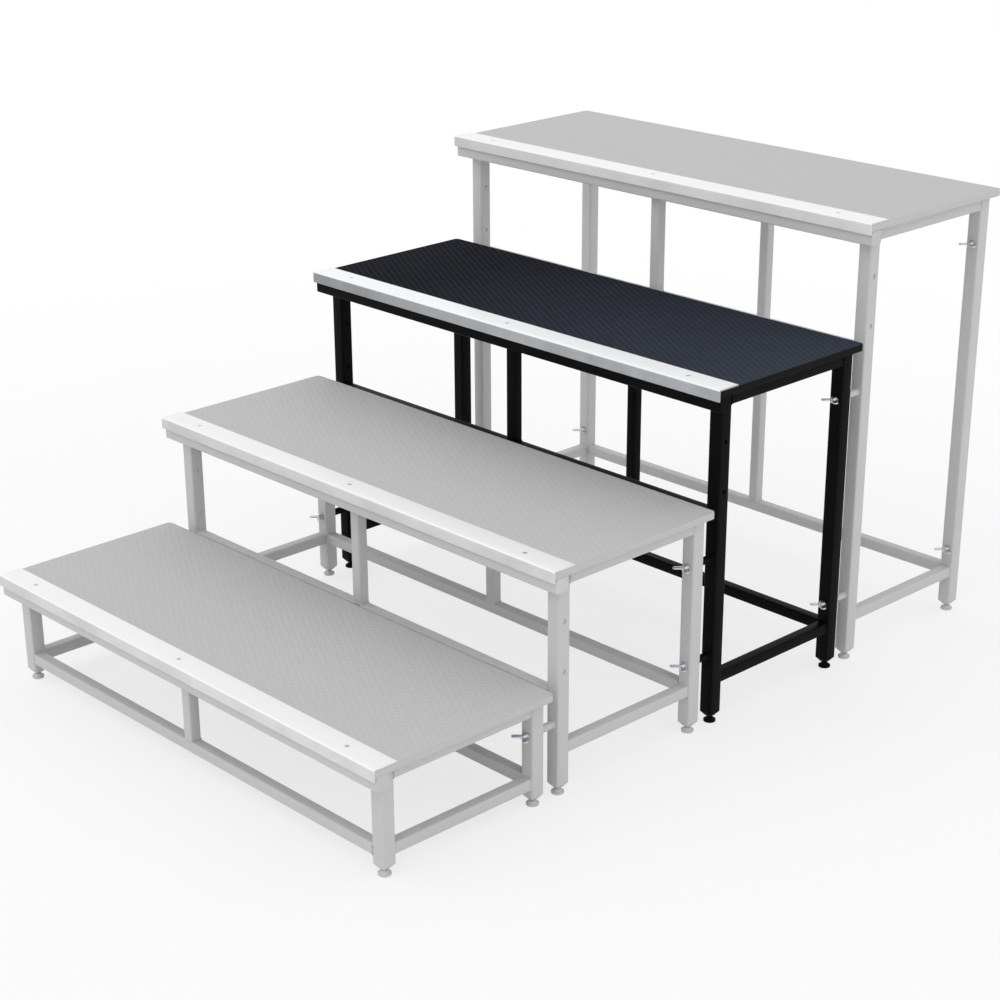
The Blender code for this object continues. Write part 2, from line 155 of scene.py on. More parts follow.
floor.location.z = -FLOOR_DROP
scene.collection.objects.link(floor)

room = bpy.data.worlds.new("studio_room")
room.use_nodes = True
scene.world = room
room_tree = room.node_tree
room_shade = room_tree.nodes["Background"]
room_shade.inputs["Color"].default_value = WHITE
room_shade.inputs["Strength"].default_value = ROOM_LIGHT
backdrop = add_node(room_tree, "Background", {"Color": WHITE, "Strength": 1.0})
room_mix = add_node(room_tree, "MixShader", {0: seen_directly(room_tree), 1: room_shade.outputs[0],
                                             2: backdrop.outputs[0]})
room_tree.links.new(room_mix.outputs[0], room_tree.nodes["World Output"].inputs["Surface"])

for lamp_name, lamp_place, lamp_spread, lamp_strength in LAMPS:
    lamp_data = bpy.data.lights.new(lamp_name, "SUN")
    lamp_data.angle = radians(lamp_spread)
    lamp_data.energy = lamp_strength
    lamp = bpy.data.objects.new(lamp_name, lamp_data)
    lamp.location = lamp_place
    lamp.rotation_euler = (-Vector(lamp_place)).to_track_quat("-Z", "Y").to_euler()
    scene.collection.objects.link(lamp)


# The powder coat
# Baked polyester powder on the welded frames: satin, with a fine orange peel from the cure and a
# slightly uneven tone. The third module is black, the others the pale grey of the photo.
BLACK_COAT = (0.0024, 0.0022, 0.0022, 1)
BLACK_COAT_LIGHT = (0.0050, 0.0047, 0.0047, 1)
BLACK_COAT_ROUGHNESS = (0.34, 0.48)
BLACK_COAT_GLOSS = 0.04
GREY_COAT = (0.545, 0.545, 0.545, 1)
GREY_COAT_LIGHT = (0.57, 0.57, 0.57, 1)
GREY_COAT_ROUGHNESS = (0.46, 0.6)
GREY_COAT_GLOSS = 0.25
ORANGE_PEEL_PER_METRE = 950.0
ORANGE_PEEL_HEIGHT = 0.00012
COAT_PATCHES_PER_METRE = 7.0
# the stretches of the noise that go from one colour to the other, and from smoothest to roughest
TONE_RANGE = (0.35, 0.7)
SHINE_RANGE = (0.3, 0.7)
SURFACE_OUTPUTS = (("Colour", "NodeSocketColor"), ("Roughness", "NodeSocketFloat"),
                   ("Height", "NodeSocketFloat"))


def shader_group(name, inputs, outputs):
    """An empty node group with named inputs (name, kind, default) and outputs (name, kind)."""
    group = bpy.data.node_groups.new(name, "ShaderNodeTree")
    for socket_name, kind, default in inputs:
        socket = group.interface.new_socket(socket_name, in_out="INPUT", socket_type=kind)
        socket.default_value = default
    for socket_name, kind in outputs:
        group.interface.new_socket(socket_name, in_out="OUTPUT", socket_type=kind)
    return group, group.nodes.new("NodeGroupInput"), group.nodes.new("NodeGroupOutput")


def use_group(tree, group, values):
    """Place a node group in a material's tree with its own values."""
    item = tree.nodes.new("ShaderNodeGroup")
    item.node_tree = group
    for key, value in values.items():
        item.inputs[key].default_value = value
    return item


def finish_with(tree, shader, effect, bump_distance, bump_strength=1.0):
    """Drive a shader's colour, roughness and normal from an effect group."""
    tree.links.new(effect.outputs["Colour"], shader.inputs["Base Color"])
    tree.links.new(effect.outputs["Roughness"], shader.inputs["Roughness"])
    bump = add_node(tree, "Bump", {"Strength": bump_strength, "Distance": bump_distance,
                                   "Height": effect.outputs["Height"]})
    tree.links.new(bump.outputs["Normal"], shader.inputs["Normal"])


def noise(tree, place, scale, detail=2.0, roughness=0.5):
    """Fractal noise from 0 to 1, with about as many patches to the metre as its scale."""
    return add_node(tree, "TexNoise", {"Vector": place, "Scale": scale, "Detail": detail,
                                       "Roughness": roughness}).outputs["Fac"]


def mix_colours(tree, share, first, second, blend="MIX"):
    return add_node(tree, "Mix", {0: share, 6: first, 7: second}, data_type="RGBA",
                    blend_type=blend).outputs[2]


def give_out(group, group_out, **results):
    """Link results to the outputs of a node group that have their names."""
    for key, value in results.items():
        group.links.new(value, group_out.inputs[key])


powder_grain, grain_in, grain_out = shader_group(
    "powder_grain",
    (("Colour", "NodeSocketColor", (0, 0, 0, 1)), ("Light Colour", "NodeSocketColor", (0, 0, 0, 1)),
     ("Grain", "NodeSocketFloat", 900.0), ("Smoothest", "NodeSocketFloat", 0.35),
     ("Roughest", "NodeSocketFloat", 0.5)), SURFACE_OUTPUTS)
grain_place = add_node(powder_grain, "TexCoord").outputs["Object"]
peel = noise(powder_grain, grain_place, grain_in.outputs["Grain"], roughness=0.45)
tone = noise(powder_grain, grain_place, COAT_PATCHES_PER_METRE, detail=4.0)
tone_mix = mix_colours(powder_grain, ramp(powder_grain, tone, *TONE_RANGE), grain_in.outputs["Colour"],
                       grain_in.outputs["Light Colour"])
shine = ramp(powder_grain, tone, *SHINE_RANGE, grain_in.outputs["Smoothest"], grain_in.outputs["Roughest"])
give_out(powder_grain, grain_out, Colour=tone_mix, Roughness=shine, Height=peel)


def coat_material(name, colour, light_colour, roughness, gloss, grain=ORANGE_PEEL_PER_METRE,
                  relief=ORANGE_PEEL_HEIGHT):
    material, tree, shader = new_material(name, Specular_IOR_Level=gloss)
    effect = use_group(tree, powder_grain, {"Colour": colour, "Light Colour": light_colour, "Grain": grain,
                                            "Smoothest": roughness[0], "Roughest": roughness[1]})
    finish_with(tree, shader, effect, relief)
    return material


black_coat = coat_material("black_powder_coat", BLACK_COAT, BLACK_COAT_LIGHT, BLACK_COAT_ROUGHNESS,
                           BLACK_COAT_GLOSS)
grey_coat = coat_material("grey_powder_coat", GREY_COAT, GREY_COAT_LIGHT, GREY_COAT_ROUGHNESS,
                          GREY_COAT_GLOSS)


# The welded frames
# Each module's square steel tubes: four legs and the rails under the deck in a wide tube, the lower
# rails and the posts at mid width in a narrow one. Bolt holes and pin holes are drilled.
STEPS = (1, 2, 3, 4)
BLACK_STEP = 3
TUBE = 0.025
THIN_TUBE = 0.020
TUBE_WALL = 0.002
TUBE_CORNER = 0.0028
CORNER_STEPS = 4
RAIL_SEAT = 0.0003
BOTTOM_RAIL_HEIGHT = 0.080
FIRST_BOTTOM_RAIL_HEIGHT = 0.042
NOSE_RAIL_SETBACK = 0.006
NOSE_RAIL_END_INSET = 0.003
LEG_END = 0.011
PLUG_TAPER = 0.008
BOLT_HOLE_RADIUS = 0.0046
SIDE_HOLE_RADIUS = 0.004
SIDE_HOLE_DROPS = (0.100, 0.185)
HOLE_SIDES = 32
SMOOTH_ANGLE = radians(30)


def tube_outline(size):
    """A tube's rounded square, centred, anticlockwise."""
    flat = size / 2 - TUBE_CORNER
    points = []
    for quarter, (side_u, side_v) in enumerate(((1, 1), (-1, 1), (-1, -1), (1, -1))):
        for i in range(CORNER_STEPS + 1):
            angle = pi / 2 * (quarter + i / CORNER_STEPS)
            points.append((side_u * flat + TUBE_CORNER * cos(angle),
                           side_v * flat + TUBE_CORNER * sin(angle)))
    return points


def round_outline(radius, sides):
    return [(radius * cos(2 * pi * i / sides), radius * sin(2 * pi * i / sides)) for i in range(sides)]


def along(axis, across_a, across_b):
    """Turns (u, v, level) into a point of a bar that runs along an axis at the given place."""
    if axis == "X":
        return lambda u, v, level: (level, across_a + u, across_b + v)
    if axis == "Y":
        return lambda u, v, level: (across_a + u, level, across_b + v)
    return lambda u, v, level: (across_a + u, across_b + v, level)


def skin(bm, rings, closed=False):
    """Join rings of points with faces. Open runs are capped at both ends."""
    made = [[bm.verts.new(point) for point in ring] for ring in rings]
    pairs = list(zip(made, made[1:]))
    if closed:
        pairs.append((made[-1], made[0]))
    faces = []
    for lower, upper in pairs:
        for i in range(len(lower)):
            j = (i + 1) % len(lower)
            faces.append(bm.faces.new((lower[i], lower[j], upper[j], upper[i])))
    if not closed:
        faces.append(bm.faces.new(made[0]))
        faces.append(bm.faces.new(made[-1]))
    bmesh.ops.recalc_face_normals(bm, faces=faces)
    return faces


def bar(bm, axis, across, start, end, outline):
    """A straight closed bar of any outline."""
    to_point = along(axis, *across)
    return skin(bm, [[to_point(u, v, level) for u, v in outline] for level in (start, end)])


def to_mesh(name, bm, angle=SMOOTH_ANGLE):
    mesh = bpy.data.meshes.new(name)
    bm.to_mesh(mesh)
    bm.free()
    mesh.shade_smooth()
    mesh.set_sharp_from_angle(angle=angle)
    return mesh


def cut(name, solid, cutter):
    """The solid minus the cutter, both given as bmeshes, as a new mesh."""
    target = bpy.data.objects.new(name, to_mesh(name, solid))
    tool = bpy.data.objects.new(name + "_cutter", to_mesh(name + "_cutter", cutter))
    for item in (target, tool):
        scene.collection.objects.link(item)
    modifier = target.modifiers.new("cut", "BOOLEAN")
    modifier.operation = "DIFFERENCE"
    modifier.solver = "EXACT"
    modifier.object = tool
    bpy.context.view_layer.update()
    graph = bpy.context.evaluated_depsgraph_get()
    mesh = bpy.data.meshes.new_from_object(target.evaluated_get(graph))
    for item in (target, tool):
        old_mesh = item.data
        bpy.data.objects.remove(item)
        bpy.data.meshes.remove(old_mesh)
    mesh.name = name
    mesh.shade_smooth()
    mesh.set_sharp_from_angle(angle=SMOOTH_ANGLE)
    return mesh


def show(name, mesh, materials, body, place=(0, 0, 0)):
    """Put a mesh in the scene as one piece of the object, riding on a CAD body."""
    if not mesh.materials:
        for material in materials:
            mesh.materials.append(material)
    item = bpy.data.objects.new(name, mesh)
    item.location = place
    scene.collection.objects.link(item)
    bpy.context.view_layer.update()
    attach(item, body)
    return item


def middle(node):
    low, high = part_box(node)
    return (Vector(low) + Vector(high)) / 2


def step_sizes(step):
    """Where one module's parts are, from the CAD nodes."""
    nosing_low, nosing_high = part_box("step%d_nosing" % step)
    deck_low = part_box("step%d_deck" % step)[0]
    front = middle("step%d_foot_front_right" % step)
    rear = middle("step%d_foot_rear_right" % step)
    return {"front": nosing_low[1], "top": nosing_high[2], "half": nosing_high[0],
            "tube_top": deck_low[2] - RAIL_SEAT, "leg_x": front.x, "front_leg": front.y,
            "rear_leg": rear.y}


def bolt_heights(step):
    levels = ("lower",) if step == STEPS[0] else ("lower", "upper")
    return [middle("step%d_wing_bolt_%s_right" % (step, level)).z for level in levels]


def drilled_leg(step, row, x, y, tube_top):
    """One leg, hollow, with its bolt holes along Y and its pin holes along X."""
    leg = bmesh.new()
    bar(leg, "Z", (x, y), LEG_END + PLUG_TAPER, tube_top, tube_outline(TUBE))
    drills = bmesh.new()
    half = TUBE / 2 - TUBE_WALL
    bore = [(half, half), (-half, half), (-half, -half), (half, -half)]
    bar(drills, "Z", (x, y), LEG_END, tube_top - TUBE_WALL, bore)
    bolt_hole = round_outline(BOLT_HOLE_RADIUS, HOLE_SIDES)
    if row == "rear":
        for z in bolt_heights(step):
            bar(drills, "Y", (x, z), y - TUBE, y + TUBE, bolt_hole)
    elif step > STEPS[0]:
        for z in bolt_heights(step - 1):
            bar(drills, "Y", (x, z), y - TUBE, y, bolt_hole)
        for drop in SIDE_HOLE_DROPS:
            bar(drills, "X", (y, step_sizes(step)["top"] - drop), x - TUBE, x + TUBE,
                round_outline(SIDE_HOLE_RADIUS, HOLE_SIDES))
    return cut("leg", leg, drills)


def rails(step):
    """Every tube but the legs as (width, axis, across, start, end). The nose rail comes last."""
    sizes = step_sizes(step)
    top = sizes["tube_top"] - TUBE / 2
    inner_x = sizes["leg_x"] - TUBE / 2
    inner_front = sizes["front_leg"] + TUBE / 2
    inner_rear = sizes["rear_leg"] - TUBE / 2
    nose_y = sizes["front"] + NOSE_RAIL_SETBACK + TUBE / 2
    nose_half = sizes["half"] - NOSE_RAIL_END_INSET
    front_y = sizes["front_leg"] - TUBE / 2 + THIN_TUBE / 2
    if step == STEPS[0]:
        low = cross = FIRST_BOTTOM_RAIL_HEIGHT
    else:
        low = BOTTOM_RAIL_HEIGHT
        cross = step_sizes(step - 1)["tube_top"] - TUBE / 2
    made = []
    for x in (-sizes["leg_x"], sizes["leg_x"]):
        made.append((TUBE, "Y", (x, top), inner_front, inner_rear))
        made.append((THIN_TUBE, "Y", (x, low), inner_front, inner_rear))
    made.append((TUBE, "X", (sizes["rear_leg"], top), -inner_x, inner_x))
    made.append((THIN_TUBE, "X", (sizes["rear_leg"], low), -inner_x, inner_x))
    made.append((THIN_TUBE, "X", (front_y, cross), -inner_x, inner_x))
    made.append((THIN_TUBE, "Z", (0, sizes["rear_leg"]), low + THIN_TUBE / 2, top - TUBE / 2))
    made.append((THIN_TUBE, "Z", (0, front_y), cross + THIN_TUBE / 2, sizes["tube_top"]))
    made.append((TUBE, "X", (nose_y, top), -nose_half, nose_half))
    return made


def build_tubes(step):
    """All the tubes of one module as one mesh."""
    sizes = step_sizes(step)
    whole = bmesh.new()
    for x in (-sizes["leg_x"], sizes["leg_x"]):
        for row in ("front", "rear"):
            leg = drilled_leg(step, row, x, sizes[row + "_leg"], sizes["tube_top"])
            whole.from_mesh(leg)
            bpy.data.meshes.remove(leg)
    for width, axis, across, start, end in rails(step):
        bar(whole, axis, across, start, end, tube_outline(width))
    return to_mesh("step%d_tubes" % step, whole)


def coat_of(step):
    return (black_coat, "black_coat") if step == BLACK_STEP else (grey_coat, "grey_coat")


for step in STEPS:
    coat, coat_slot = coat_of(step)
    tubes = show("step%d_tubes" % step, build_tubes(step), [coat], "stairs")
    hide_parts("step%d_frame" % step)


# The rail caps
# The rail under each nosing is open at both ends, and a thin moulded cap closes each of them. Its
# rim is eased. Black nylon in the black module, pale grey in the others.
CAP_THICK = 0.0015
CAP_EASE = 0.0006
CAP_BLACK = (0.004, 0.004, 0.0042, 1)
CAP_GREY = (0.53, 0.53, 0.53, 1)
NYLON_LIGHT_SHARE = 1.15
NYLON_ROUGHNESS = (0.5, 0.65)
NYLON_GRAIN_PER_METRE = 1700.0
NYLON_RELIEF = 0.00006


def nylon_material(name, colour, gloss):
    light_colour = tuple(channel * NYLON_LIGHT_SHARE for channel in colour[:3]) + (1,)
    return coat_material(name, colour, light_colour, NYLON_ROUGHNESS, gloss, NYLON_GRAIN_PER_METRE,
                         NYLON_RELIEF)


black_nylon = nylon_material("black_nylon", CAP_BLACK, BLACK_COAT_GLOSS)
grey_nylon = nylon_material("grey_nylon", CAP_GREY, GREY_COAT_GLOSS)


def rail_caps(step):
    """Both caps of one nose rail."""
    caps = bmesh.new()
    width, axis, across, start, end = rails(step)[-1]
    to_point = along(axis, *across)
    for side, level in ((-1, start), (1, end)):
        rings = []
        for reach, size in ((0, width), (CAP_THICK - CAP_EASE, width), (CAP_THICK, width - 2 * CAP_EASE)):
            rings.append([to_point(u, v, level + side * reach) for u, v in tube_outline(size)])
        skin(caps, rings)
    return to_mesh("step%d_rail_caps" % step, caps)


for step in STEPS:
    nylon = black_nylon if step == BLACK_STEP else grey_nylon
    show("step%d_rail_caps" % step, rail_caps(step), [nylon], "stairs")


# The weld beads
# Where a rail meets a leg or another rail the welder runs a bead all the way round, one overlapping
# drop of steel after the next. It is powder coated with the frame.
BEAD_RADIUS = 0.0014
BEAD_POINTS = 132
BEAD_DROPS = 44
BEAD_SIDES = 6
BEAD_SWELL = 0.3
BEAD_WANDER_SHARE = 0.25
BEAD_WANDER_TURN = 0.31
BEAD_WANDER_SHIFT = 90


def walk(outline, count):
    """Evenly spaced points round a closed outline, each with its outward direction."""
    corners = [Vector(point) for point in outline]
    lengths = [(corners[(i + 1) % len(corners)] - corners[i]).length for i in range(len(corners))]
    spacing = sum(lengths) / count
    made = []
    index = 0
    passed = 0.0
    for point_index in range(count):
        goal = point_index * spacing
        while passed + lengths[index] < goal:
            passed += lengths[index]
            index += 1
        run = corners[(index + 1) % len(corners)] - corners[index]
        made.append((corners[index] + run * ((goal - passed) / lengths[index]),
                     Vector((run.y, -run.x)).normalized()))
    return made


def weld_bead(bm, width, axis, across, level):
    """A rippled ring round a tube's end."""
    to_point = along(axis, *across)
    rings = []
    for i, (point, outward) in enumerate(walk(tube_outline(width), BEAD_POINTS)):
        drop = (i * BEAD_DROPS / BEAD_POINTS) % 1
        wander = BEAD_WANDER_SHARE * sin(i * BEAD_WANDER_TURN + level * BEAD_WANDER_SHIFT) * BEAD_RADIUS
        radius = BEAD_RADIUS * (1 + BEAD_SWELL * (drop - 0.5))
        ring = []
        for k in range(BEAD_SIDES):
            angle = 2 * pi * k / BEAD_SIDES
            offset = outward * radius * cos(angle)
            ring.append(to_point(point.x + offset.x, point.y + offset.y,
                                 level + wander + radius * sin(angle)))
        rings.append(ring)
    skin(bm, rings, closed=True)


for step in STEPS:
    beads = bmesh.new()
    for rail_width, rail_axis, rail_across, rail_start, rail_end in rails(step)[:-1]:
        weld_bead(beads, rail_width, rail_axis, rail_across, rail_start)
        weld_bead(beads, rail_width, rail_axis, rail_across, rail_end)
    coat, coat_slot = coat_of(step)
    show("step%d_welds" % step, to_mesh("step%d_welds" % step, beads, pi), [coat], "stairs")


# The leg plugs
# A moulded plug closes each leg's lower end, tapers down to the screw foot and holds its thread.
# Black nylon in the black module, pale grey in the others.
PLUG_TIP = 0.0125
PLUG_SHOULDER_WIDTH = 0.97
PLUG_SHOULDER_HEIGHT = 0.92
PLUG_BORE_RADIUS = 0.0046


def plug_mesh():
    """One plug, with its origin on the leg's axis at the tip's height."""
    body = bmesh.new()
    rings = []
    for level, size in ((0, PLUG_TIP), (PLUG_TAPER * PLUG_SHOULDER_HEIGHT, TUBE * PLUG_SHOULDER_WIDTH),
                        (PLUG_TAPER, TUBE)):
        rings.append([(u * size / TUBE, v * size / TUBE, level) for u, v in tube_outline(TUBE)])
    skin(body, rings)
    drill = bmesh.new()
    bar(drill, "Z", (0, 0), -TUBE, TUBE, round_outline(PLUG_BORE_RADIUS, HOLE_SIDES))
    return cut("leg_plug", body, drill)


plug = plug_mesh()
for step in STEPS:
    sizes = step_sizes(step)
    plugs = bmesh.new()
    for x in (-sizes["leg_x"], sizes["leg_x"]):
        for y in (sizes["front_leg"], sizes["rear_leg"]):
            placed = plug.copy()
            placed.transform(Matrix.Translation((x, y, LEG_END)))
            plugs.from_mesh(placed)
            bpy.data.meshes.remove(placed)
    nylon = black_nylon if step == BLACK_STEP else grey_nylon
    show("step%d_leg_plugs" % step, to_mesh("step%d_leg_plugs" % step, plugs), [nylon], "stairs")


# The deck panels
# Birch plywood with a phenolic film, embossed on top with a fine rhombic net against slipping. The
# cut edges are sealed in the film's colour, and the plies show in them faintly; the grey panels'
# edges are painted lighter than their film, as painted light against their shade. The black film
# gets a painted sheen, brighter towards the right.
NET_ROWS_PER_METRE = 93.0
NET_DIRECTIONS = (pi / 3, 2 * pi / 3)
RIDGE_START = -0.3
RIDGE_FULL = 0.95
NET_RELIEF = 0.0003
NET_WORN_SHARE = 0.65
GRIT_PER_METRE = 1400.0
FILM_PATCHES_PER_METRE = 5.0
FILM_ROUGHNESS = (0.6, 0.75)
FILM_GLOSS = 0.004
PANEL_CORNER = 0.008
PANEL_CORNER_STEPS = 8
PANEL_EDGE = 0.001
EDGE_ROUND_STEPS = 3
SAME_LEVEL = 1e-6
FACES_UP = 0.9
PLY_THICKNESS = 0.0013
PLY_DARK_START = 0.55
PLY_SHADE = 0.78
PLY_FIBRES_PER_METRE = (60, 60, 700)
PLY_ROUGHNESS = (0.5, 0.7)
PLY_RELIEF = 0.0002
BLACK_FILM = (0.0050, 0.0062, 0.0085, 1)
BLACK_FILM_NET = (0.0245, 0.0270, 0.0345, 1)
BLACK_FILM_PAINTED_SHEEN = (0.0265, 0.031, 0.044, 1)
GREY_FILM = (0.49, 0.49, 0.49, 1)
GREY_FILM_NET = (0.515, 0.515, 0.515, 1)
GREY_FILM_PAINTED_SHEEN = (0.0, 0.0, 0.0, 1)
# where the film's painted sheen starts and reaches full strength, along X
PAINTED_SHEEN_START = -0.3
PAINTED_SHEEN_END = 0.55
BLACK_EDGE = (0.010, 0.010, 0.012, 1)
# the grey panels' edges are painted lighter than the grey film, as painted light against their shade
GREY_EDGE_PAINTED_LIGHT = (0.60, 0.60, 0.60, 1)

rhombic_net, net_in, net_out = shader_group(
    "rhombic_net",
    (("Film Colour", "NodeSocketColor", (0, 0, 0, 1)), ("Net Colour", "NodeSocketColor", (0, 0, 0, 1)),
     ("Painted Sheen Colour", "NodeSocketColor", (0, 0, 0, 1)), ("Rows", "NodeSocketFloat", 90.0),
     ("Grit", "NodeSocketFloat", 0.25)), SURFACE_OUTPUTS)
net_place = add_node(rhombic_net, "TexCoord").outputs["Object"]


def net_wires(direction):
    """One set of the net's parallel ridges, as a mask, that follow each other in a direction."""
    across = add_node(rhombic_net, "VectorMath", {0: net_place, 1: (cos(direction), sin(direction), 0)},
                      operation="DOT_PRODUCT").outputs["Value"]
    rows = maths(rhombic_net, "MULTIPLY", across, net_in.outputs["Rows"])
    wave = maths(rhombic_net, "COSINE", maths(rhombic_net, "MULTIPLY", rows, 2 * pi))
    return ramp(rhombic_net, wave, RIDGE_START, RIDGE_FULL, curve="SMOOTHSTEP")


net_ridge = maths(rhombic_net, "MAXIMUM", *[net_wires(direction) for direction in NET_DIRECTIONS])
patches = noise(rhombic_net, net_place, FILM_PATCHES_PER_METRE, detail=5.0, roughness=0.6)
net_share = maths(rhombic_net, "MULTIPLY", net_ridge,
                  ramp(rhombic_net, patches, *TONE_RANGE, NET_WORN_SHARE))
film_mix = mix_colours(rhombic_net, net_share, net_in.outputs["Film Colour"], net_in.outputs["Net Colour"])
# Painted sheen: a colour added to the film, more of it towards the right
net_x = add_node(rhombic_net, "SeparateXYZ", {0: net_place}).outputs["X"]
film_with_painted_sheen = mix_colours(rhombic_net, ramp(rhombic_net, net_x, PAINTED_SHEEN_START, PAINTED_SHEEN_END), film_mix,
                       net_in.outputs["Painted Sheen Colour"], "ADD")
film_shine = ramp(rhombic_net, patches, *SHINE_RANGE, *FILM_ROUGHNESS)
grit = noise(rhombic_net, net_place, GRIT_PER_METRE)
grit_share = maths(rhombic_net, "MULTIPLY", grit, net_in.outputs["Grit"])
net_height = maths(rhombic_net, "ADD", net_ridge, grit_share)
give_out(rhombic_net, net_out, Colour=film_with_painted_sheen, Roughness=film_shine, Height=net_height)

sealed_ply, ply_in, ply_out = shader_group(
    "sealed_ply", (("Colour", "NodeSocketColor", (0, 0, 0, 1)), ("Ply", "NodeSocketFloat", 0.0013)),
    SURFACE_OUTPUTS)
ply_place = add_node(sealed_ply, "TexCoord").outputs["Object"]
ply_z = add_node(sealed_ply, "SeparateXYZ", {0: ply_place}).outputs["Z"]
ply_stretch = add_node(sealed_ply, "Mapping", {"Vector": ply_place,
                                               "Scale": PLY_FIBRES_PER_METRE}).outputs[0]
ply_fibre = noise(sealed_ply, ply_stretch, 1.0, detail=3.0)
ply_wave = maths(sealed_ply, "PINGPONG", maths(sealed_ply, "DIVIDE", ply_z, ply_in.outputs["Ply"]), 1.0)
ply_mask = maths(sealed_ply, "GREATER_THAN", ply_wave, PLY_DARK_START)
ply_tone = ramp(sealed_ply, ply_mask, 0, 1, 1.0, PLY_SHADE)
ply_colour = add_node(sealed_ply, "VectorMath", {0: ply_in.outputs["Colour"], "Scale": ply_tone},
                      operation="SCALE").outputs[0]
ply_height = maths(sealed_ply, "MULTIPLY", ply_fibre, ply_mask)
ply_shine = ramp(sealed_ply, ply_fibre, 0, 1, *PLY_ROUGHNESS)
give_out(sealed_ply, ply_out, Colour=ply_colour, Roughness=ply_shine, Height=ply_height)


def film_material(name, film_colour, net_colour, painted_sheen_colour, gloss):
    material, tree, shader = new_material(name, Specular_IOR_Level=gloss)
    effect = use_group(tree, rhombic_net, {"Film Colour": film_colour, "Net Colour": net_colour,
                                           "Painted Sheen Colour": painted_sheen_colour, "Rows": NET_ROWS_PER_METRE})
    finish_with(tree, shader, effect, NET_RELIEF)
    return material


def edge_material(name, colour, gloss):
    material, tree, shader = new_material(name, Specular_IOR_Level=gloss)
    effect = use_group(tree, sealed_ply, {"Colour": colour, "Ply": PLY_THICKNESS})
    finish_with(tree, shader, effect, PLY_RELIEF)
    return material


deck_materials = {
    True: [film_material("black_film", BLACK_FILM, BLACK_FILM_NET, BLACK_FILM_PAINTED_SHEEN, FILM_GLOSS),
           edge_material("black_ply_edge", BLACK_EDGE, BLACK_COAT_GLOSS)],
    False: [film_material("grey_film", GREY_FILM, GREY_FILM_NET, GREY_FILM_PAINTED_SHEEN, GREY_COAT_GLOSS),
            edge_material("grey_ply_edge", GREY_EDGE_PAINTED_LIGHT, GREY_COAT_GLOSS)]}


def round_rims(bm, edges, width):
    """Round the level edges of an upright bar, which are the rims of its two ends."""
    rims = [edge for edge in edges if abs(edge.verts[0].co.z - edge.verts[1].co.z) < SAME_LEVEL]
    bmesh.ops.bevel(bm, geom=rims, offset=width, segments=EDGE_ROUND_STEPS, profile=0.5, affect="EDGES")


def panel_mesh(step):
    """The panel with rounded rear corners and eased edges. The film is on its top face only."""
    low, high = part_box("step%d_deck" % step)
    outline = [(low[0], low[1]), (high[0], low[1])]
    for side, start in ((1, 0), (-1, 1)):
        centre_x = side * (high[0] - PANEL_CORNER)
        for i in range(PANEL_CORNER_STEPS + 1):
            angle = pi / 2 * (start + i / PANEL_CORNER_STEPS)
            outline.append((centre_x + PANEL_CORNER * cos(angle),
                            high[1] - PANEL_CORNER + PANEL_CORNER * sin(angle)))
    bm = bmesh.new()
    skin(bm, [[(x, y, z) for x, y in outline] for z in (low[2], high[2])])
    round_rims(bm, bm.edges, PANEL_EDGE)
    bm.normal_update()
    for face in bm.faces:
        face.material_index = 0 if face.normal.z > FACES_UP else 1
    return to_mesh("step%d_panel" % step, bm)


for step in STEPS:
    black = step == BLACK_STEP
    panel = show("step%d_panel" % step, panel_mesh(step), deck_materials[black], "stairs")
    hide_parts("step%d_deck" % step)


# The nosings
# Extruded aluminium angle over each deck's front edge, with the fine lines of the die along it.
# Its faces that don't look up get painted shade, smudged at random and darker towards the left
# end. Countersunk for three screws.
NOSING_TOP = 0.045
NOSING_FRONT = 0.020
NOSING_THICK = 0.0025
NOSING_RADIUS = 0.0035
NOSING_ROUND_STEPS = 8
SCREW_HEAD_RADIUS = 0.004
SCREW_HEAD_HEIGHT = 0.0022
SCREW_SHANK_RADIUS = 0.002
SCREW_PLAY = 0.0003
BRIGHT_METAL = (0.945, 0.95, 0.96, 1)
BRIGHT_METAL_DULL = (0.84, 0.85, 0.87, 1)
# the front's painted shade, plain and smudged
BRIGHT_FRONT_SHADE = (0.48, 0.50, 0.505, 1)
BRIGHT_SMUDGED_SHADE = (0.37, 0.39, 0.40, 1)
BRIGHT_METALLIC = 0.2
BRIGHT_ROUGHNESS = (0.26, 0.42)
BRIGHT_RELIEF = 0.00005
BRIGHT_END_SHADE = 0.66
PALE_METAL = (0.89, 0.89, 0.90, 1)
PALE_METAL_DULL = (0.85, 0.85, 0.86, 1)
# the front's painted shade, plain and smudged
PALE_FRONT_SHADE = (0.82, 0.82, 0.82, 1)
PALE_SMUDGED_SHADE = (0.72, 0.72, 0.72, 1)
PALE_METALLIC = 0.25
PALE_ROUGHNESS = (0.34, 0.5)
PALE_RELIEF = 0.00004
PALE_END_SHADE = 0.92
DIE_LINES_PER_METRE = (2.5, 900.0, 900.0)
METAL_CLOUDS_PER_METRE = 14.0
CLOUD_RANGE = (0.45, 0.8)
METAL_BUMP = 0.6
SMUDGES_PER_METRE = 9.0
SMUDGE_RANGE = (0.4, 0.65)
TREAD_RANGE = (0.15, 0.75)
END_SHADE_START = -0.5
END_SHADE_END = 0.0

